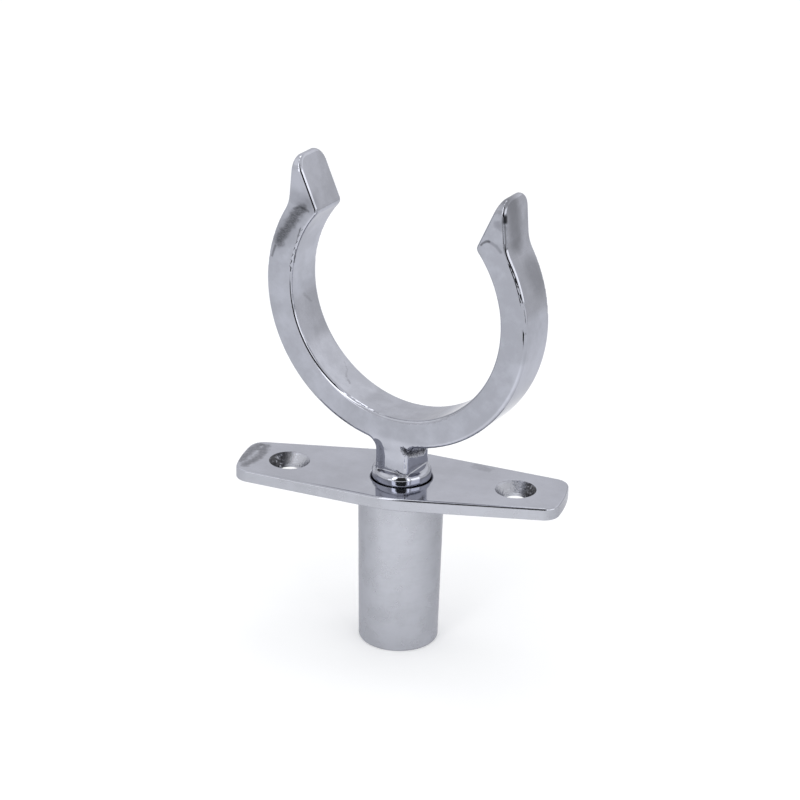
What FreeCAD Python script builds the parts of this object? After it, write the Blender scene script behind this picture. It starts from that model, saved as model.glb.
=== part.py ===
import FreeCAD, Part
import math
import os

# Flush-mount rowlock: a C-shaped crutch whose pin turns in a plate-and-tube socket.
# Lengths are millimetres. Z is up along the pin axis and X runs along the plate.
# The origin lies on the pin axis in the plate's underside, which seats on the gunwale.

# Socket plate: a lozenge, widest at the waist, with bowed ends
plate_length = 77.4
plate_width = 27.2
plate_end_width = 15.8
plate_thickness = 3.0
plate_waist_radius = 26.0
plate_corner_radius = 3.8
plate_top_edge_radius = 0.5
plate_bottom_edge_radius = 0.3

# Countersunk screw holes
screw_spacing = 54.0
screw_hole_diameter = 5.3
countersink_diameter = 9.7
countersink_half_angle = 45.0

# Socket tube, cast with draft
tube_length = 38.5
tube_top_diameter = 20.0
tube_bottom_diameter = 18.7
tube_rim_radius = 0.6

# Bore mouth: a rounded lip, then a short relief above the guiding bore
mouth_relief = 0.35
mouth_relief_depth = 4.0
mouth_lip_radius = 1.2

# Crutch pin and collar
pin_diameter = 12.5
pin_clearance = 0.10
pin_end_inset = 2.5
pin_end_chamfer = 1.2
collar_overhang = 0.2
collar_top_height = 2.7
collar_crown_radius = 1.5
collar_foot_radius = 0.5
seat_gap = 0.30

# Crutch ring
ring_inner_diameter = 54.4
ring_wall = 6.8
ring_depth = 10.7
ring_centre_height = 43.5
ring_edge_radius = 0.9

# Horns: a beak on the inner circle, a flat ramp above it and a near-upright back
beak_angle = 41.6
beak_radius = 1.5
ramp_tilt = 24.5
back_tilt = 4.6
horn_root_radius = 9.0
horn_height = 30.2
horn_tip_width = 1.55
horn_shoulder_radius = 3.3

# Neck between collar and ring
neck_width = 8.7
neck_inset = 0.4
neck_flare_radius = 2.6
neck_sweep_radius = 25.0
neck_foot_radius = 0.3

# The crutch stands turned a little about the pin
crutch_turn = -16.7

# Derived places
half_length = plate_length / 2
plate_top = plate_thickness
pin_radius = pin_diameter / 2
pin_end = pin_end_inset - tube_length
bore_radius = pin_radius + pin_clearance
mouth_radius = bore_radius + mouth_relief
lip_x = mouth_radius + mouth_lip_radius
lip_z = plate_top - mouth_lip_radius
ring_inner = ring_inner_diameter / 2
ring_outer = ring_inner + ring_wall
ring_centre = plate_top + ring_centre_height
half_depth = ring_depth / 2
corner_cut = (math.sqrt(2) - 1) * ring_edge_radius
neck_reach = math.hypot(neck_width / 2, half_depth - neck_inset) - corner_cut
collar_radius = max(mouth_radius + collar_overhang, neck_reach + 2 * neck_foot_radius)
collar_top = plate_top + collar_top_height
crown_z = collar_top - collar_crown_radius
neck_end = crown_z - collar_crown_radius
beak_x = ring_inner * math.cos(math.radians(beak_angle))
beak_z = ring_centre + ring_inner * math.sin(math.radians(beak_angle))
horn_top = ring_centre + horn_height
tip_x = beak_x + math.tan(math.radians(ramp_tilt)) * (horn_top - beak_z)

UP = FreeCAD.Vector(0, 0, 1)
BACK = FreeCAD.Vector(0, 1, 0)
OVERSHOOT = plate_thickness
TOLERANCE = 0.01
SMOOTH_COSINE = 0.99
EDGE_SHARE = 0.9
SWEEP_SHARE = 1 / 3
OUT_DIR = "parts"


def vec(x, y, z):
    return FreeCAD.Vector(x, y, z)


def line(start, end):
    return Part.LineSegment(start, end).toShape()


def chain(points):
    """Straight edges joining the points in order."""
    return [line(start, end) for start, end in zip(points, points[1:])]


def arc(centre, start, end):
    """The short arc about a centre from start to end."""
    bisector = (start - centre) + (end - centre)
    bisector.normalize()
    middle = centre + bisector * (start - centre).Length
    return Part.Arc(start, middle, end).toShape()


def profile(edges):
    """Flat face inside a closed run of edges."""
    return Part.Face(Part.Wire(Part.__sortEdges__(edges)))


def polygon(points):
    """Flat face through the points in order."""
    return profile(chain(points + [points[0]]))


def turned(edges):
    """Solid made by turning an outline in the XZ plane about the pin axis."""
    return profile(edges).revolve(vec(0, 0, 0), UP, 360)


def straight_edges(body, axis):
    """Straight edges that run along the axis."""
    found = []
    for edge in body.Edges:
        if edge.Curve.TypeId == "Part::GeomLine":
            run = edge.Vertexes[-1].Point - edge.Vertexes[0].Point
            if abs(run.dot(axis)) > edge.Length - TOLERANCE:
                found.append(edge)
    return found


def sharp_edges(body):
    """Edges where two faces meet at a real corner."""
    found = []
    for edge in body.Edges:
        faces = body.ancestorsOfType(edge, Part.Face)
        if len(faces) == 2:
            point = edge.valueAt((edge.FirstParameter + edge.LastParameter) / 2)
            first, second = [face.normalAt(*face.Surface.parameter(point)) for face in faces]
            if first.dot(second) < SMOOTH_COSINE:
                found.append(edge)
    return found


def edges_at_height(body, height):
    """Sharp edges that lie at one height."""
    return [edge for edge in sharp_edges(body) if abs(edge.CenterOfMass.z - height) < TOLERANCE]


def plate_blank():
    """Lozenge trimmed to a disc, with its waist and corners rounded."""
    reach = half_length + plate_corner_radius
    slope = (plate_width - plate_end_width) / plate_length
    half_waist = plate_width / 2
    half_end = half_waist - slope * reach
    lozenge = polygon(
        [
            vec(-reach, -half_end, 0),
            vec(0, -half_waist, 0),
            vec(reach, -half_end, 0),
            vec(reach, half_end, 0),
            vec(0, half_waist, 0),
            vec(-reach, half_end, 0),
        ]
    ).extrude(UP * plate_thickness)
    blank = lozenge.common(Part.makeCylinder(half_length, plate_thickness))
    uprights = straight_edges(blank, UP)
    waist = [edge for edge in uprights if abs(edge.CenterOfMass.x) < half_length / 2]
    blank = blank.makeFillet(plate_waist_radius, waist)
    uprights = straight_edges(blank, UP)
    corners = [edge for edge in uprights if abs(edge.CenterOfMass.x) > half_length / 2]
    return blank.makeFillet(plate_corner_radius, corners)


def plate():
    blank = plate_blank()
    blank = blank.makeFillet(plate_top_edge_radius, edges_at_height(blank, plate_top))
    return blank.makeFillet(plate_bottom_edge_radius, edges_at_height(blank, 0))


def tube():
    """Tapered tube under the plate, rooted inside the plate's thickness."""
    top = tube_top_diameter / 2
    low = tube_bottom_diameter / 2
    root = plate_thickness / 2
    points = [
        vec(0, 0, -tube_length),
        vec(low, 0, -tube_length),
        vec(top, 0, 0),
        vec(top, 0, root),
        vec(0, 0, root),
        vec(0, 0, -tube_length),
    ]
    body = turned(chain(points))
    return body.makeFillet(tube_rim_radius, edges_at_height(body, -tube_length))


def screw_cutter():
    """Through hole with a countersink that opens at the plate's top."""
    slope = math.tan(math.radians(countersink_half_angle))
    hole_radius = screw_hole_diameter / 2
    sink_radius = countersink_diameter / 2
    sink_depth = (sink_radius - hole_radius) / slope
    points = [
        vec(0, 0, -OVERSHOOT),
        vec(hole_radius, 0, -OVERSHOOT),
        vec(hole_radius, 0, plate_top - sink_depth),
        vec(sink_radius + OVERSHOOT * slope, 0, plate_top + OVERSHOOT),
        vec(0, 0, plate_top + OVERSHOOT),
        vec(0, 0, -OVERSHOOT),
    ]
    return turned(chain(points))


def bore_cutter():
    """Guiding bore, open at the bottom, with its relief and the rounded lip above."""
    low = -tube_length - OVERSHOOT
    high = plate_top + OVERSHOOT
    relief_floor = plate_top - mouth_relief_depth
    lip_start = vec(mouth_radius, 0, lip_z)
    lip_end = vec(lip_x, 0, plate_top)
    points = [
        lip_end,
        vec(lip_x, 0, high),
        vec(0, 0, high),
        vec(0, 0, low),
        vec(bore_radius, 0, low),
        vec(bore_radius, 0, relief_floor - mouth_relief),
        vec(mouth_radius, 0, relief_floor),
        lip_start,
    ]
    return turned(chain(points) + [arc(vec(lip_x, 0, lip_z), lip_start, lip_end)])


def socket():
    """One casting: plate and tube, bored for the pin and drilled for two screws."""
    body = plate().fuse(tube())
    for side in (-1, 1):
        cutter = screw_cutter()
        cutter.translate(vec(side * screw_spacing / 2, 0, 0))
        body = body.cut(cutter)
    return body.cut(bore_cutter()).removeSplitter()


def pin_and_collar():
    """Pin under a bead-like collar whose foot stands just clear of the socket's lip."""
    foot_x = collar_radius - collar_foot_radius
    reach = mouth_lip_radius + collar_foot_radius + seat_gap
    foot_z = lip_z + math.sqrt(reach ** 2 - (lip_x - foot_x) ** 2)
    collar_bottom = foot_z - collar_foot_radius
    crown_x = collar_radius - collar_crown_radius
    foot_start = vec(foot_x, 0, collar_bottom)
    foot_end = vec(collar_radius, 0, foot_z)
    crown_start = vec(collar_radius, 0, crown_z)
    crown_end = vec(crown_x, 0, collar_top)
    points = [
        crown_end,
        vec(0, 0, collar_top),
        vec(0, 0, pin_end),
        vec(pin_radius - pin_end_chamfer, 0, pin_end),
        vec(pin_radius, 0, pin_end + pin_end_chamfer),
        vec(pin_radius, 0, collar_bottom),
        foot_start,
    ]
    edges = chain(points)
    edges.append(arc(vec(foot_x, 0, foot_z), foot_start, foot_end))
    edges.append(line(foot_end, crown_start))
    edges.append(arc(vec(crown_x, 0, crown_z), crown_start, crown_end))
    return turned(edges)


def open_ring():
    """Ring standing in the XZ plane, cut away between the two ramps."""
    centre = vec(0, -half_depth, ring_centre)
    ring = Part.makeCylinder(ring_outer, ring_depth, centre, BACK)
    ring = ring.cut(Part.makeCylinder(ring_inner, ring_depth, centre, BACK))
    sky = horn_top + ring_outer
    sky_x = beak_x + math.tan(math.radians(ramp_tilt)) * (sky - beak_z)
    mouth = polygon(
        [
            vec(-beak_x, -half_depth, beak_z),
            vec(beak_x, -half_depth, beak_z),
            vec(sky_x, -half_depth, sky),
            vec(-sky_x, -half_depth, sky),
        ]
    )
    return ring.cut(mouth.extrude(BACK * ring_depth))


def horn(side):
    """Wedge from inside the ring's wall up to a narrow flat top."""
    back_x = tip_x + horn_tip_width
    root_z = beak_z - ring_wall
    spread = math.tan(math.radians(back_tilt)) * (horn_top - root_z)
    deep = 1 + ring_wall / ring_inner / 2
    wedge = polygon(
        [
            vec(side * beak_x, -half_depth, beak_z),
            vec(side * tip_x, -half_depth, horn_top),
            vec(side * back_x, -half_depth, horn_top),
            vec(side * (back_x + spread), -half_depth, root_z),
            vec(side * beak_x * deep, -half_depth, ring_centre + (beak_z - ring_centre) * deep),
        ]
    )
    return wedge.extrude(BACK * ring_depth)


def neck_web():
    """Neck between two flares that run tangent into the ring's outer wall."""
    half = neck_width / 2
    front = -half_depth
    low = neck_end
    flare_x = half + neck_flare_radius
    reach = ring_outer + neck_flare_radius
    flare_z = ring_centre - math.sqrt(reach ** 2 - flare_x ** 2)
    touch_x = flare_x * ring_outer / reach
    touch_z = ring_centre + (flare_z - ring_centre) * ring_outer / reach
    inside = ring_centre - ring_inner - ring_wall / 2
    edges = chain(
        [
            vec(-half, front, flare_z),
            vec(-half, front, low),
            vec(half, front, low),
            vec(half, front, flare_z),
        ]
    )
    edges += chain(
        [
            vec(touch_x, front, touch_z),
            vec(touch_x, front, inside),
            vec(-touch_x, front, inside),
            vec(-touch_x, front, touch_z),
        ]
    )
    for side in (-1, 1):
        centre = vec(side * flare_x, front, flare_z)
        start = vec(side * half, front, flare_z)
        edges.append(arc(centre, start, vec(side * touch_x, front, touch_z)))
    return profile(edges).extrude(BACK * ring_depth)


def front_view():
    """Crutch seen from the front: ring, horns and neck, extruded to the ring's depth."""
    body = open_ring().fuse(horn(-1)).fuse(horn(1)).removeSplitter()
    roots = []
    for edge in straight_edges(body, BACK):
        centre = edge.CenterOfMass
        if abs(math.hypot(centre.x, centre.z - ring_centre) - ring_outer) < TOLERANCE:
            roots.append(edge)
    body = body.makeFillet(horn_root_radius, roots)
    beaks = [e for e in straight_edges(body, BACK) if abs(e.CenterOfMass.z - beak_z) < TOLERANCE]
    body = body.makeFillet(beak_radius, beaks)
    return body.fuse(neck_web()).removeSplitter()


def side_view():
    """Crutch seen from the side: a slab with rounded shoulders and a faintly waisted neck."""
    x = -ring_outer - ring_wall
    inner = half_depth - horn_shoulder_radius
    shoulder = horn_top - horn_shoulder_radius
    waist = half_depth - neck_inset
    turn = math.acos(1 - neck_inset / 2 / neck_sweep_radius)
    top = ring_centre - ring_outer + SWEEP_SHARE * ring_wall
    middle = top - neck_sweep_radius * math.sin(turn)
    narrow = middle - neck_sweep_radius * math.sin(turn)
    flare = neck_sweep_radius - math.sqrt(neck_sweep_radius ** 2 - (narrow - neck_end) ** 2)
    foot = waist + flare
    edges = [line(vec(x, inner, horn_top), vec(x, -inner, horn_top))]
    edges.append(line(vec(x, foot, neck_end), vec(x, -foot, neck_end)))
    for side in (-1, 1):
        edge = side * half_depth
        bend = vec(x, side * (half_depth + waist) / 2, middle)
        hip = vec(x, side * (half_depth - neck_sweep_radius), top)
        hollow = vec(x, side * (waist + neck_sweep_radius), narrow)
        round_end = vec(x, side * inner, shoulder)
        edges.append(arc(round_end, vec(x, side * inner, horn_top), vec(x, edge, shoulder)))
        edges.append(line(vec(x, edge, shoulder), vec(x, edge, top)))
        edges.append(arc(hip, vec(x, edge, top), bend))
        edges.append(arc(hollow, bend, vec(x, side * foot, neck_end)))
    return profile(edges).extrude(vec(-2 * x, 0, 0))


def crutch():
    """One casting: ring, horns, neck, collar and pin, every edge eased."""
    body = front_view().common(side_view()).removeSplitter()

    # The easing is held within the narrow flat at each horn's top
    setbacks = [math.tan(math.radians(90 - tilt) / 2) for tilt in (ramp_tilt, back_tilt)]
    widest = EDGE_SHARE * horn_tip_width / sum(setbacks)
    rim = [e for e in sharp_edges(body) if e.CenterOfMass.z > neck_end + TOLERANCE]
    body = body.makeFillet(min(ring_edge_radius, widest), rim)

    # The eased neck is trimmed where the collar's crown starts
    spare = Part.makeCylinder(ring_outer, crown_z - neck_end, vec(0, 0, neck_end))
    body = body.cut(spare)
    body = body.fuse(pin_and_collar()).removeSplitter()
    seam = [e for e in sharp_edges(body) if e.CenterOfMass.z > crown_z]
    body = body.makeFillet(neck_foot_radius, seam)
    body.rotate(vec(0, 0, 0), UP, crutch_turn)
    return body


os.makedirs(OUT_DIR, exist_ok=True)
for name, build in (("socket", socket), ("crutch", crutch)):
    shape = build()
    print(name, "solids", len(shape.Solids), "valid", shape.isValid(), "mm3", round(shape.Volume, 1))
    shape.Solids[0].exportStep(os.path.join(OUT_DIR, name + ".step"))
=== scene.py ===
import math
from typing import NamedTuple

import bpy
from mathutils import Matrix, Vector


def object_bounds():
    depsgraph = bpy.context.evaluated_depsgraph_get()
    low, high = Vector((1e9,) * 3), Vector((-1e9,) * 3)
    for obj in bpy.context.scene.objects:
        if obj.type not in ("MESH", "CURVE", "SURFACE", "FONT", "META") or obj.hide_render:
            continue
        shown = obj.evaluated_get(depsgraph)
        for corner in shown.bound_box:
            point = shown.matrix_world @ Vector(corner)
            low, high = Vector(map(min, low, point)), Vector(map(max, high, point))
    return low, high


# Rowlock: a mirror-polished crutch swivelling in a plate-and-tube socket.
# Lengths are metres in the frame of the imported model, angles are degrees, colours are linear.

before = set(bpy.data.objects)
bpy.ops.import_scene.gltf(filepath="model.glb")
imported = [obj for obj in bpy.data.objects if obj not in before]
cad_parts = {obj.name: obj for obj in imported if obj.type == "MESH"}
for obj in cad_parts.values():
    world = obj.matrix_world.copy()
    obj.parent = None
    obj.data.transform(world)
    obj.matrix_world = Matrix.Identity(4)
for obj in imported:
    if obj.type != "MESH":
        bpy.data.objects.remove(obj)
cad_low, cad_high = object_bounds()


class Noise(NamedTuple):
    """A noise pattern; with an upright scale, it is stretched along Z."""

    scale: float
    detail: float
    roughness: float
    upright: float = 0.0


class Mark(NamedTuple):
    """A run of places with a hollow that hand polishing left, painted dark reflection, or both."""

    run: tuple
    reach: float
    ragged: float
    hollow: float = 0.0
    darkness: float = 0.0


class Pool(NamedTuple):
    """A round pool of light or shade on the floor, which only the steel shows."""

    centre: tuple
    reach: float
    strength: float


class Card(NamedTuple):
    """A sheet bent round the object, at angles seen from it; its brightness is 1 for white.

    Its border fades out, apart from the lower one of a card that stands.
    """

    name: str
    azimuths: tuple
    elevations: tuple
    distance: float
    brightness: float
    border: float
    stands: bool = False


class Lamp(NamedTuple):
    """A flat soft box that fills angles seen from the object; its radiance is 1 for white."""

    name: str
    azimuths: tuple
    elevations: tuple
    radiance: float


# Camera, at the photograph's viewing angle.
IMAGE_SIZE = 800
SENSOR_WIDTH = 36.0
CAMERA_TARGET = Vector((0.0, 0.0, 0.0278))
CAMERA_AZIMUTH = 13.93
CAMERA_ELEVATION = 23.32
CAMERA_DISTANCE = 0.6398
CAMERA_ROLL = 1.256
CAMERA_FOCAL_PIXELS = 2808.2
CAMERA_CENTRE = (403.73, 375.98)
CAMERA_CLIP = (0.01, 20.0)

# Object features that the materials follow. The satin starts at SATIN_DEPTHS below the top.
FLOOR_Z = cad_low[2]
PLATE_TOP_Z = 0.003
SATIN_DEPTHS = (0.0001, 0.0006)
SCREW_X = 0.027
SCREW_RIM_RADIUS = 0.00485
SCREW_RIM_WIDTH = 0.0001

# Steel colours.
STEEL_DULL = (0.352, 0.361, 0.405, 1.0)
STEEL_BRIGHT = (0.420, 0.431, 0.486, 1.0)
SATIN_DULL = (0.366, 0.374, 0.409, 1.0)
SATIN_BRIGHT = (0.406, 0.415, 0.456, 1.0)
EDGE_TINT = (0.78, 0.78, 0.80, 1.0)
# Painted shade: the dark reflections that the marks mix into the steel's colour.
PAINTED_SHADE = (0.025, 0.026, 0.030, 1.0)
# Painted shade for the countersinks' outer walls.
PAINTED_SINK_SHADE = (0.030, 0.030, 0.032, 1.0)

# Polished steel: clouds with finer smudges in them, haze, and the waves of hand polishing.
CLOUDS = Noise(55.0, 3.0, 0.5)
CLOUDS_WEIGHT = 0.6
SMUDGES = Noise(260.0, 5.0, 0.65)
SMUDGES_WEIGHT = 0.4
CRUTCH_CLOUD_SOFTNESS = 0.10
SOCKET_CLOUD_SOFTNESS = 0.22
HAZE = Noise(240.0, 5.0, 0.65)
HAZE_RANGE = (0.35, 0.75)
MIRROR_ROUGHNESS = (0.05, 0.11)
WAVES = Noise(60.0, 1.0, 0.4)
CRUTCH_WAVE_HEIGHT = 0.00016
SOCKET_WAVE_HEIGHT = 0.00010
SMALL_WAVES = Noise(170.0, 1.0, 0.4)
SMALL_WAVE_HEIGHT = 0.00003
GRAIN = Noise(1500.0, 2.0, 0.5)
GRAIN_HEIGHT = 0.0000015

# The socket's satin walls and tube, blotched and finely turned, under its polished top.
STREAKS = Noise(180.0, 3.0, 0.6, upright=1400.0)
STREAKS_WEIGHT = 0.15
BLOTCHES = Noise(130.0, 4.0, 0.6)
BLOTCHES_WEIGHT = 0.85
SATIN_COLOUR_RANGE = (0.38, 0.62)
BLOTCH_RANGE = (0.3, 0.7)
SATIN_ROUGHNESS = (0.24, 0.34)
PLATE_ROUGHNESS = (0.06, 0.11)
TURNING = Noise(60.0, 3.0, 0.6, upright=2400.0)
TURNING_HEIGHT = 0.00001

# Countersinks: turned rings and pits, with speckled painted shade on the side away from the neck.
SINK_ROUGHNESS = 0.14
RINGS_SCALE = 5200.0
RINGS_DETAIL = 2.0
RINGS_HEIGHT = 0.00002
PITS = Noise(1700.0, 3.0, 0.65)
PITS_HEIGHT = 0.00016
SPECKLES = Noise(1100.0, 4.0, 0.7)
SPECKLE_RANGE = (0.70, 0.52)
SINK_SHADE_SIDE = (-0.0006, 0.0026)
SINK_SHADE_STRENGTH = 0.9

# Rims of the marks. A mark is fully dark within CORE_SHARE of its reach, and one that is more
# ragged than SMOOTH_RIM has fine ripples in it.
UNEVEN_RIM = Noise(700.0, 4.0, 0.65)
SMOOTH_RIM = 0.00085
RIPPLES = Noise(1700.0, 3.0, 0.6, upright=4200.0)
RIPPLE_RANGE = (0.35, 0.60)
RIPPLE_SHARES = (0.70, 1.0)
CORE_SHARE = 0.2

LEFT_HORN_MARKS = (
    # The dark streak, painted dark reflection over a shallow groove, and the paler painted shade
    # around and above it.
    Mark(run=((-0.0249, 0.0019, 0.0650), (-0.0266, 0.0024, 0.0629), (-0.0281, 0.0028, 0.0604),
              (-0.0296, 0.0033, 0.0582), (-0.0308, 0.0037, 0.0559)),
         reach=0.0019, ragged=0.0009, hollow=0.00003, darkness=0.72),
    Mark(run=((-0.0229, 0.0013, 0.0659), (-0.0266, 0.0024, 0.0629), (-0.0308, 0.0037, 0.0559)),
         reach=0.0036, ragged=0.0008, darkness=0.22),
    Mark(run=((-0.0269, 0.0025, 0.0671), (-0.0241, 0.0017, 0.0661)),
         reach=0.0030, ragged=0.0008, darkness=0.22),
    # The thin arc of painted dark reflection over a shallow groove, between the streak and the ramp.
    Mark(run=((-0.0269, 0.0025, 0.0645), (-0.0254, 0.0020, 0.0653), (-0.0233, 0.0014, 0.0646)),
         reach=0.0005, ragged=0.0001, hollow=0.00002, darkness=0.45),
    # Short pieces of painted dark reflection on the outer edge and on the inner one.
    Mark(run=((-0.0318, 0.0040, 0.0545), (-0.0326, 0.0042, 0.0519)),
         reach=0.0005, ragged=0.0003, darkness=0.50),
    Mark(run=((-0.0253, 0.0020, 0.0601), (-0.0262, 0.0023, 0.0570)),
         reach=0.0003, ragged=0.0004, darkness=0.60),
    Mark(run=((-0.0266, 0.0027, 0.0545), (-0.0271, 0.0032, 0.0512)),
         reach=0.0003, ragged=0.0004, darkness=0.60),
)
INNER_SURFACE_MARKS = (
    # Two soft, wandering lines of painted shade.
    Mark(run=((-0.0259, 0.0072, 0.0422), (-0.0255, 0.0080, 0.0412), (-0.0247, 0.0093, 0.0398)),
         reach=0.0006, ragged=0.0006, darkness=0.16),
    Mark(run=((-0.0159, 0.0078, 0.0262), (-0.0150, 0.0066, 0.0250), (-0.0147, 0.0045, 0.0245),
              (-0.0135, 0.0030, 0.0231)),
         reach=0.0005, ragged=0.0007, darkness=0.28),
)
RIGHT_HORN_MARKS = (
    # The arc of painted dark reflection over the beak, sharp at its left end, where a shallow groove
    # lies under it, and fading to its right one.
    Mark(run=((0.0195, -0.0114, 0.0660), (0.0199, -0.0116, 0.0665), (0.0208, -0.0118, 0.0671),
              (0.0215, -0.0120, 0.0672)),
         reach=0.0004, ragged=0.0002, hollow=0.00002, darkness=0.62),
    Mark(run=((0.0212, -0.0120, 0.0672), (0.0222, -0.0122, 0.0669), (0.0232, -0.0126, 0.0664),
              (0.0242, -0.0128, 0.0654)),
         reach=0.0006, ragged=0.0002, darkness=0.30),
    # Painted dark reflections: a cloud on the front, then the spot and the line on the crest.
    Mark(run=((0.0232, -0.0125, 0.0714), (0.0244, -0.0129, 0.0710)),
         reach=0.0014, ragged=0.0008, darkness=0.30),
    Mark(run=((0.0249, -0.0127, 0.0733), (0.0249, -0.0127, 0.0724)),
         reach=0.0010, ragged=0.0001, darkness=1.0),
    Mark(run=((0.0250, -0.0128, 0.0713), (0.0252, -0.0129, 0.0685), (0.0255, -0.0129, 0.0663)),
         reach=0.0005, ragged=0.0001, darkness=0.45),
    # The shaded back of the horn and of the ring below it.
    Mark(run=((0.0256, -0.0103, 0.0757), (0.0260, -0.0096, 0.0732), (0.0264, -0.0094, 0.0702),
              (0.0267, -0.0091, 0.0674)),
         reach=0.0044, ragged=0.0008, darkness=0.43),
    Mark(run=((0.0303, -0.0073, 0.0602), (0.0316, -0.0070, 0.0568)),
         reach=0.0046, ragged=0.0008, darkness=0.26),
)
NECK_MARKS = (
    # The rounding of the left front edge.
    Mark(run=((-0.0054, -0.0050, 0.0116), (-0.0048, -0.0036, 0.0090), (-0.0047, -0.0035, 0.0050)),
         reach=0.0020, ragged=0.0001, hollow=0.00090),
    # Painted dark reflections, over shallow hollows, under the ring and at the neck's foot.
    Mark(run=((0.0021, -0.0062, 0.0120), (0.0032, -0.0046, 0.0107), (0.0041, -0.0015, 0.0099),
              (0.0049, 0.0012, 0.0093)),
         reach=0.0012, ragged=0.0011, hollow=0.00045, darkness=0.95),
    Mark(run=((-0.0007, -0.0055, 0.0057), (0.0008, -0.0059, 0.0056), (0.0024, -0.0055, 0.0056)),
         reach=0.0007, ragged=0.0012, hollow=0.00010, darkness=0.60),
)
CRUTCH_MARKS = LEFT_HORN_MARKS + INNER_SURFACE_MARKS + RIGHT_HORN_MARKS + NECK_MARKS
PLATE_MARKS = (
    # Painted dark reflections in two bands across the left end, then a faint darker patch by the back
    # edge, right of the neck.
    Mark(run=((-0.0362, 0.0061, 0.0030), (-0.0370, 0.0035, 0.0030), (-0.0376, -0.0001, 0.0030),
              (-0.0379, -0.0031, 0.0030)),
         reach=0.0017, ragged=0.0012, darkness=0.58),
    Mark(run=((-0.0346, 0.0059, 0.0030), (-0.0344, 0.0031, 0.0030), (-0.0345, -0.0010, 0.0030),
              (-0.0362, -0.0053, 0.0030)),
         reach=0.0017, ragged=0.0012, darkness=0.58),
    Mark(run=((0.0158, 0.0094, 0.0030), (0.0182, 0.0084, 0.0030)),
         reach=0.0022, ragged=0.0015, darkness=0.25),
)

# Studio: a white backdrop, plain room light, and a matt floor lifted to the backdrop's white.
WHITE = (1.0, 1.0, 1.0, 1.0)
ROOM_LIGHT = (0.97, 0.98, 1.0, 1.0)
ROOM_STRENGTH = 0.85
FLOOR_SIZE = 6.0
FLOOR_PAINT = (0.88, 0.88, 0.88, 1.0)
FLOOR_GLOW = 0.2
FLOOR_POOLS = (
    Pool((0.02, -0.08, 0.0), reach=0.11, strength=0.45),
    Pool((0.07, 0.14, 0.0), reach=0.12, strength=0.18),
    Pool((-0.06, -0.065, 0.0), reach=0.035, strength=0.30),
    Pool((-0.03, -0.05, 0.0), reach=0.04, strength=0.14),
    Pool((-0.08, 0.03, 0.0), reach=0.07, strength=-0.12),
    Pool((0.06, 0.04, 0.0), reach=0.06, strength=-0.20),
)

CARD_COLUMNS = 60
CARD_ROWS = 24
CARD_FLOOR_GAP = 0.0005
CARDS = (
    Card("opening", (-8.0, 34.0), (-30.0, 60.0), 0.45, 0.05, border=2.5, stands=True),
    Card("front_flag", (-16.0, 14.0), (-14.0, 8.0), 0.10, 0.03, border=3.0),
    Card("right_wedge", (36.0, 58.0), (-30.0, -4.0), 0.34, 0.55, border=5.0, stands=True),
    Card("back_low", (92.0, 168.0), (-30.0, 18.0), 0.30, 0.92, border=6.0),
    Card("back_right", (96.0, 176.0), (14.0, 48.0), 1.3, 1.26, border=6.0),
    Card("back_left", (162.0, 222.0), (12.0, 50.0), 1.35, 1.09, border=6.0),
    Card("left_wall", (-120.0, -36.0), (16.0, 66.0), 1.3, 1.28, border=12.0),
)

LAMP_DISTANCE = 1.1
LAMPS = (
    Lamp("left_strip", (-25.0, -10.0), (8.0, 58.0), 2.2),
    Lamp("left_spot", (-37.0, -24.0), (-3.0, 9.0), 1.7),
    Lamp("right_strip", (38.0, 45.0), (1.0, 40.0), 2.2),
    Lamp("right_window", (52.0, 88.0), (1.0, 28.0), 1.32),
    Lamp("top_left", (-64.0, -40.0), (66.0, 80.0), 1.9),
    Lamp("top_back", (170.0, 225.0), (62.0, 80.0), 1.8),
)


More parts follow.
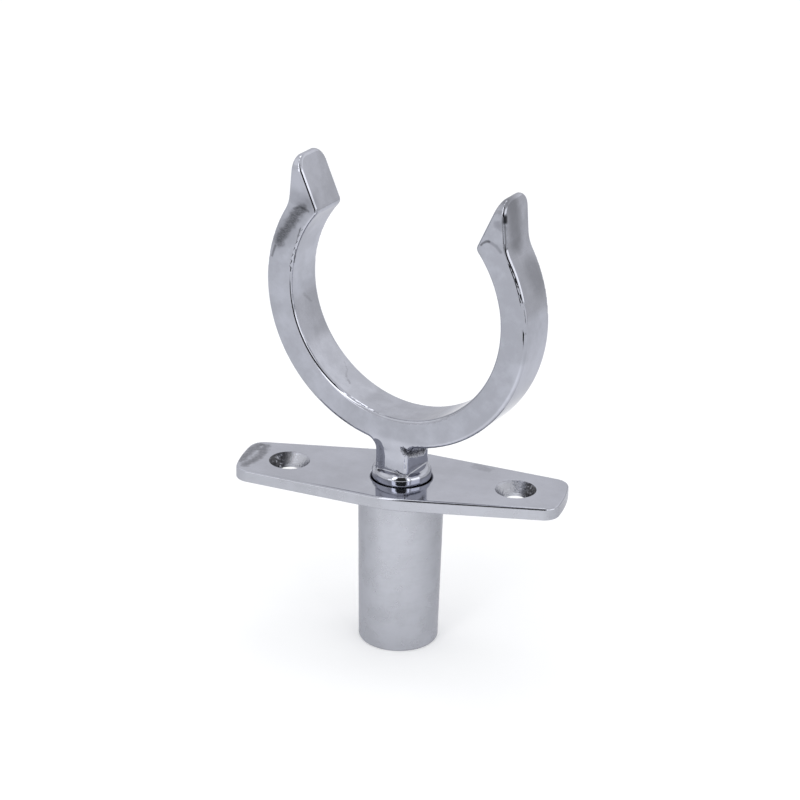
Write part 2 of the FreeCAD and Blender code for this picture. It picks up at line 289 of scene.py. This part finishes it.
class Nodes:
    """A node tree under construction, with short calls for the nodes used here."""

    def __init__(self, owner):
        owner.use_nodes = True
        self.tree = owner.node_tree
        self.tree.nodes.clear()

    def add(self, kind, settings=None, **inputs):
        node = self.tree.nodes.new(kind)
        for name, value in (settings or {}).items():
            setattr(node, name, value)
        for name, value in inputs.items():
            self.feed(node, name.replace("_", " "), value)
        return node

    def feed(self, node, name, value):
        socket = node.inputs[int(name)] if name.isdigit() else node.inputs[name]
        if isinstance(value, bpy.types.NodeSocket):
            self.tree.links.new(value, socket)
        else:
            socket.default_value = value

    def math(self, operation, a, b=0.0, clamp=False):
        node = self.add("ShaderNodeMath", {"operation": operation, "use_clamp": clamp})
        self.feed(node, "0", a)
        self.feed(node, "1", b)
        return node.outputs[0]

    def weighted(self, a, a_weight, b, b_weight):
        return self.math("ADD", self.math("MULTIPLY", a, a_weight), self.math("MULTIPLY", b, b_weight))

    def vector(self, operation, a, b, output="Vector"):
        node = self.add("ShaderNodeVectorMath", {"operation": operation})
        self.feed(node, "0", a)
        self.feed(node, "Scale" if operation == "SCALE" else "1", b)
        return node.outputs[output]

    def ramp(self, value, low, high, to_low=0.0, to_high=1.0):
        node = self.add("ShaderNodeMapRange", {"interpolation_type": "SMOOTHSTEP"})
        for index, entry in enumerate((value, low, high, to_low, to_high)):
            self.feed(node, str(index), entry)
        return node.outputs[0]

    def mix(self, factor, a, b):
        node = self.add("ShaderNodeMix", {"data_type": "RGBA"})
        self.feed(node, "0", factor)
        self.feed(node, "6", a)
        self.feed(node, "7", b)
        return node.outputs[2]

    def mix_shaders(self, factor, a, b):
        node = self.add("ShaderNodeMixShader")
        self.feed(node, "0", factor)
        self.feed(node, "1", a)
        self.feed(node, "2", b)
        return node.outputs[0]

    def noise(self, place, pattern):
        scale = pattern.scale
        if pattern.upright:
            place = self.vector("MULTIPLY", place, (scale, scale, pattern.upright))
            scale = 1.0
        settings = {"Scale": scale, "Detail": pattern.detail, "Roughness": pattern.roughness}
        return self.add("ShaderNodeTexNoise", Vector=place, **settings).outputs["Fac"]

    def place(self):
        return self.add("ShaderNodeTexCoord").outputs["Object"]

    def bump(self, height, distance, normal=None):
        node = self.add("ShaderNodeBump", Strength=1.0, Distance=distance, Height=height)
        if normal is not None:
            self.feed(node, "Normal", normal)
        return node.outputs["Normal"]

    def distance_to_run(self, place, run):
        """Distance to the nearest of the straight stretches that join the run's places."""
        nearest = None
        for start, end in zip(run, run[1:]):
            stretch = Vector(end) - Vector(start)
            offset = self.vector("SUBTRACT", place, start)
            share = self.vector("DOT_PRODUCT", offset, stretch / stretch.length_squared, "Value")
            share = self.math("ADD", share, 0.0, clamp=True)
            along = self.vector("SCALE", stretch, share)
            gap = self.vector("DISTANCE", offset, along, "Value")
            nearest = gap if nearest is None else self.math("MINIMUM", nearest, gap)
        return nearest

    def output(self, kind, surface):
        self.add(kind, Surface=surface)


def steel_shader(nodes, colour, roughness, normal):
    shader = nodes.add("ShaderNodeBsdfPrincipled", Metallic=1.0, Specular_Tint=EDGE_TINT)
    nodes.feed(shader, "Base Color", colour)
    nodes.feed(shader, "Roughness", roughness)
    nodes.feed(shader, "Normal", normal)
    nodes.output("ShaderNodeOutputMaterial", shader.outputs[0])


def polishing_marks(nodes, place, marks, colour, normal):
    """Shallow hollows, and painted shade (dark reflections mixed into the colour) along the marks,
    with uneven rims.
    """
    uneven = nodes.math("SUBTRACT", nodes.noise(place, UNEVEN_RIM), 0.5)
    ripples = nodes.ramp(nodes.noise(place, RIPPLES), *RIPPLE_RANGE, *RIPPLE_SHARES)
    for mark in marks:
        gap = nodes.distance_to_run(place, mark.run)
        gap = nodes.math("ADD", gap, nodes.math("MULTIPLY", uneven, 2 * mark.ragged))
        if mark.hollow:
            normal = nodes.bump(nodes.ramp(gap, 0.0, mark.reach), mark.hollow, normal)
        # Darkness is painted shade: a dark reflection mixed into the colour.
        if mark.darkness:
            share = nodes.ramp(gap, mark.reach, CORE_SHARE * mark.reach, 0.0, mark.darkness)
            if mark.ragged > SMOOTH_RIM:
                share = nodes.math("MULTIPLY", share, ripples)
            colour = nodes.mix(share, colour, PAINTED_SHADE)
    return colour, normal


def clouded_steel(nodes, place, softness):
    """Polished steel whose brightness drifts in soft clouds, with finer smudges in them."""
    clouds = nodes.noise(place, CLOUDS)
    smudges = nodes.noise(place, SMUDGES)
    both = nodes.weighted(clouds, CLOUDS_WEIGHT, smudges, SMUDGES_WEIGHT)
    share = nodes.ramp(both, 0.5 - softness, 0.5 + softness)
    return nodes.mix(share, STEEL_DULL, STEEL_BRIGHT)


def mirror_steel():
    """Mirror-polished casting: slow waves left by hand polishing, haze, and marks with painted dark
    reflections.
    """
    material = bpy.data.materials.new("mirror_steel")
    nodes = Nodes(material)
    place = nodes.place()
    colour = clouded_steel(nodes, place, CRUTCH_CLOUD_SOFTNESS)
    roughness = nodes.ramp(nodes.noise(place, HAZE), *HAZE_RANGE, *MIRROR_ROUGHNESS)
    normal = nodes.bump(nodes.noise(place, WAVES), CRUTCH_WAVE_HEIGHT)
    normal = nodes.bump(nodes.noise(place, SMALL_WAVES), SMALL_WAVE_HEIGHT, normal)
    normal = nodes.bump(nodes.noise(place, GRAIN), GRAIN_HEIGHT, normal)
    colour, normal = polishing_marks(nodes, place, CRUTCH_MARKS, colour, normal)
    steel_shader(nodes, colour, roughness, normal)
    return material


class SocketZones:
    """Where a place lies on the socket: how far from a screw, in a countersink, below the top."""

    def __init__(self, nodes, place):
        x, y, z = nodes.add("ShaderNodeSeparateXYZ", Vector=place).outputs
        self.from_screw = nodes.math("SUBTRACT", nodes.math("ABSOLUTE", x), SCREW_X)
        across = nodes.math("MULTIPLY", self.from_screw, self.from_screw)
        along = nodes.math("MULTIPLY", y, y)
        self.screw_radius = nodes.math("SQRT", nodes.math("ADD", across, along))
        inner_rim = SCREW_RIM_RADIUS - SCREW_RIM_WIDTH
        self.in_sink = nodes.ramp(self.screw_radius, SCREW_RIM_RADIUS, inner_rim)
        edge_high, edge_low = (PLATE_TOP_Z - depth for depth in SATIN_DEPTHS)
        self.below_top = nodes.ramp(z, edge_high, edge_low)


def socket_colour(nodes, place, zones, blotches):
    """Clouded on top, satin below it, with speckled painted shade in the countersinks."""
    polished = clouded_steel(nodes, place, SOCKET_CLOUD_SOFTNESS)
    satin = nodes.weighted(nodes.noise(place, STREAKS), STREAKS_WEIGHT, blotches, BLOTCHES_WEIGHT)
    satin = nodes.mix(nodes.ramp(satin, *SATIN_COLOUR_RANGE), SATIN_DULL, SATIN_BRIGHT)
    colour = nodes.mix(zones.below_top, polished, satin)
    outward = nodes.ramp(zones.from_screw, *SINK_SHADE_SIDE)
    speckles = nodes.ramp(nodes.noise(place, SPECKLES), *SPECKLE_RANGE)
    # Painted shade on the countersinks' outer walls, speckled.
    sink_shade = nodes.math("MULTIPLY", nodes.math("MULTIPLY", outward, zones.in_sink), speckles)
    return nodes.mix(nodes.math("MULTIPLY", sink_shade, SINK_SHADE_STRENGTH), colour, PAINTED_SINK_SHADE)


def socket_roughness(nodes, zones, blotches):
    satin = nodes.ramp(blotches, *BLOTCH_RANGE, *SATIN_ROUGHNESS)
    polished = nodes.ramp(blotches, *BLOTCH_RANGE, *PLATE_ROUGHNESS)
    on_top = nodes.math("SUBTRACT", 1.0, zones.below_top)
    outside = nodes.weighted(zones.below_top, satin, on_top, polished)
    beyond_sink = nodes.math("SUBTRACT", 1.0, zones.in_sink)
    return nodes.weighted(outside, beyond_sink, zones.in_sink, SINK_ROUGHNESS)


def socket_normal(nodes, place, zones):
    """Polishing waves everywhere, fine turning below the top, rings and pits in the countersinks."""
    turning = nodes.math("MULTIPLY", nodes.noise(place, TURNING), zones.below_top)
    rings = nodes.add("ShaderNodeTexNoise", {"noise_dimensions": "1D"}, W=zones.screw_radius,
                      Scale=RINGS_SCALE, Detail=RINGS_DETAIL)
    rings = nodes.math("MULTIPLY", rings.outputs["Fac"], zones.in_sink)
    pits = nodes.math("MULTIPLY", nodes.noise(place, PITS), zones.in_sink)
    normal = nodes.bump(nodes.noise(place, WAVES), SOCKET_WAVE_HEIGHT)
    normal = nodes.bump(turning, TURNING_HEIGHT, normal)
    normal = nodes.bump(rings, RINGS_HEIGHT, normal)
    return nodes.bump(pits, PITS_HEIGHT, normal)


def socket_steel():
    """Polished plate over a satin tube, with rough-turned countersinks that carry painted shade."""
    material = bpy.data.materials.new("socket_steel")
    nodes = Nodes(material)
    place = nodes.place()
    zones = SocketZones(nodes, place)
    blotches = nodes.noise(place, BLOTCHES)
    colour = socket_colour(nodes, place, zones, blotches)
    roughness = socket_roughness(nodes, zones, blotches)
    normal = socket_normal(nodes, place, zones)
    colour, normal = polishing_marks(nodes, place, PLATE_MARKS, colour, normal)
    steel_shader(nodes, colour, roughness, normal)
    return material


def backdrop_factor(nodes, path):
    """1 for rays that the camera or a mirror-like or clear surface sends out."""
    seen = nodes.math("MAXIMUM", path.outputs["Is Camera Ray"], path.outputs["Is Glossy Ray"])
    return nodes.math("MAXIMUM", seen, path.outputs["Is Transmission Ray"])


def studio_world():
    """White where it is seen, and a plain soft light on the object."""
    world = bpy.data.worlds.new("studio")
    bpy.context.scene.world = world
    nodes = Nodes(world)
    backdrop = nodes.add("ShaderNodeBackground", Color=WHITE, Strength=1.0)
    room = nodes.add("ShaderNodeBackground", Color=ROOM_LIGHT, Strength=ROOM_STRENGTH)
    seen = backdrop_factor(nodes, nodes.add("ShaderNodeLightPath"))
    mixed = nodes.mix_shaders(seen, room.outputs[0], backdrop.outputs[0])
    nodes.output("ShaderNodeOutputWorld", mixed)


def floor_material():
    """Matt white, lifted to the backdrop's white where it is seen, with its shadow kept."""
    material = bpy.data.materials.new("floor")
    nodes = Nodes(material)
    path = nodes.add("ShaderNodeLightPath")
    place = nodes.place()
    matt = nodes.add("ShaderNodeBsdfDiffuse", Color=FLOOR_PAINT)
    pools = 0.0
    for pool in FLOOR_POOLS:
        gap = nodes.vector("DISTANCE", place, pool.centre, "Value")
        pools = nodes.math("ADD", nodes.ramp(gap, pool.reach, 0.0, 0.0, pool.strength), pools)
    mirrored = nodes.math("MULTIPLY", pools, path.outputs["Is Glossy Ray"])
    base = nodes.math("MULTIPLY", backdrop_factor(nodes, path), FLOOR_GLOW)
    glow = nodes.add("ShaderNodeEmission", Color=WHITE, Strength=nodes.math("ADD", base, mirrored))
    both = nodes.add("ShaderNodeAddShader")
    nodes.feed(both, "0", matt.outputs[0])
    nodes.feed(both, "1", glow.outputs[0])
    nodes.output("ShaderNodeOutputMaterial", both.outputs[0])
    return material


def soft_edged_glow(name, brightness):
    """A glow of one brightness, clear where the mesh's cover is 0."""
    material = bpy.data.materials.new(name)
    nodes = Nodes(material)
    clear = nodes.add("ShaderNodeBsdfTransparent")
    glow = nodes.add("ShaderNodeEmission", Color=WHITE, Strength=brightness)
    cover = nodes.add("ShaderNodeAttribute", {"attribute_name": "cover"})
    mixed = nodes.mix_shaders(cover.outputs["Fac"], clear.outputs[0], glow.outputs[0])
    nodes.output("ShaderNodeOutputMaterial", mixed)
    return material


def staged_sheet(name, corners, faces, material):
    """A sheet of the studio, which isn't part of the object."""
    mesh = bpy.data.meshes.new(name)
    mesh.from_pydata(corners, [], faces)
    mesh.materials.append(material)
    sheet = bpy.data.objects.new(name, mesh)
    bpy.context.collection.objects.link(sheet)
    return sheet


def floor():
    half = FLOOR_SIZE / 2
    corners = [(-half, -half, 0), (half, -half, 0), (half, half, 0), (-half, half, 0)]
    sheet = staged_sheet("floor", corners, [(0, 1, 2, 3)], floor_material())
    sheet.location.z = FLOOR_Z


def towards(azimuth, elevation):
    """The unit vector from the object towards a place in the room, where azimuth 0 is -Y."""
    turn, rise = math.radians(azimuth), math.radians(elevation)
    flat = math.cos(rise)
    return Vector((math.sin(turn) * flat, -math.cos(turn) * flat, math.sin(rise)))


def smooth(share):
    share = min(max(share, 0.0), 1.0)
    return share * share * (3.0 - 2.0 * share)


def card(spec):
    """A card that is mirrored in the steel and otherwise unseen. It never dips into the floor."""
    first, last = spec.azimuths
    drop = FLOOR_Z + CARD_FLOOR_GAP - CAMERA_TARGET.z
    low = max(spec.elevations[0], math.degrees(math.atan(drop / spec.distance)))
    high = spec.elevations[1]
    corners, cover = [], []
    for row in range(CARD_ROWS + 1):
        elevation = low + (high - low) * row / CARD_ROWS
        height = CAMERA_TARGET.z + spec.distance * math.tan(math.radians(elevation))
        for column in range(CARD_COLUMNS + 1):
            azimuth = first + (last - first) * column / CARD_COLUMNS
            place = towards(azimuth, 0.0) * spec.distance
            corners.append((place.x, place.y, height))
            inside = min(azimuth - first, last - azimuth, high - elevation)
            if not spec.stands:
                inside = min(inside, elevation - low)
            cover.append(smooth(inside / spec.border))
    step = CARD_COLUMNS + 1
    starts = [row * step + column for row in range(CARD_ROWS) for column in range(CARD_COLUMNS)]
    faces = [(start, start + 1, start + 1 + step, start + step) for start in starts]
    sheet = staged_sheet(spec.name, corners, faces, soft_edged_glow(spec.name, spec.brightness))
    sheet.data.attributes.new("cover", "FLOAT", "POINT").data.foreach_set("value", cover)
    sheet.visible_camera = False
    sheet.visible_diffuse = False
    sheet.visible_shadow = False


def soft_lamp(spec):
    azimuth = sum(spec.azimuths) / 2
    elevation = sum(spec.elevations) / 2
    half_width = math.radians(spec.azimuths[1] - spec.azimuths[0]) / 2
    half_height = math.radians(spec.elevations[1] - spec.elevations[0]) / 2
    data = bpy.data.lights.new(spec.name, "AREA")
    data.shape = "RECTANGLE"
    data.size = 2 * LAMP_DISTANCE * math.tan(half_width) * math.cos(math.radians(elevation))
    data.size_y = 2 * LAMP_DISTANCE * math.tan(half_height)
    data.energy = spec.radiance * math.pi * data.size * data.size_y
    lamp = bpy.data.objects.new(spec.name, data)
    back = towards(azimuth, elevation)
    lamp.location = CAMERA_TARGET + back * LAMP_DISTANCE
    lamp.rotation_euler = back.to_track_quat("Z", "Y").to_euler()
    lamp.visible_camera = False
    bpy.context.collection.objects.link(lamp)


def camera():
    """The photograph's camera: its angle, distance and focal length, turned by its roll."""
    data = bpy.data.cameras.new("camera")
    data.sensor_width = SENSOR_WIDTH
    data.lens = CAMERA_FOCAL_PIXELS * SENSOR_WIDTH / IMAGE_SIZE
    data.shift_x = 0.5 - CAMERA_CENTRE[0] / IMAGE_SIZE
    data.shift_y = CAMERA_CENTRE[1] / IMAGE_SIZE - 0.5
    data.clip_start, data.clip_end = CAMERA_CLIP
    back = towards(CAMERA_AZIMUTH, CAMERA_ELEVATION)
    level = Vector((0.0, 0.0, 1.0)).cross(back).normalized()
    upward = back.cross(level)
    roll = math.radians(CAMERA_ROLL)
    right = level * math.cos(roll) + upward * math.sin(roll)
    up = back.cross(right)
    place = Matrix((right, up, back)).transposed().to_4x4()
    place.translation = CAMERA_TARGET + back * CAMERA_DISTANCE
    viewer = bpy.data.objects.new("camera", data)
    viewer.matrix_world = place
    bpy.context.collection.objects.link(viewer)
    bpy.context.scene.camera = viewer


def dress(name, material):
    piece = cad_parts[name]
    piece.data.materials.clear()
    piece.data.materials.append(material)


camera()
dress("crutch", mirror_steel())
dress("socket", socket_steel())

studio_world()
floor()
for card_spec in CARDS:
    card(card_spec)
for lamp_spec in LAMPS:
    soft_lamp(lamp_spec)

bpy.context.scene.view_settings.view_transform = "Standard"
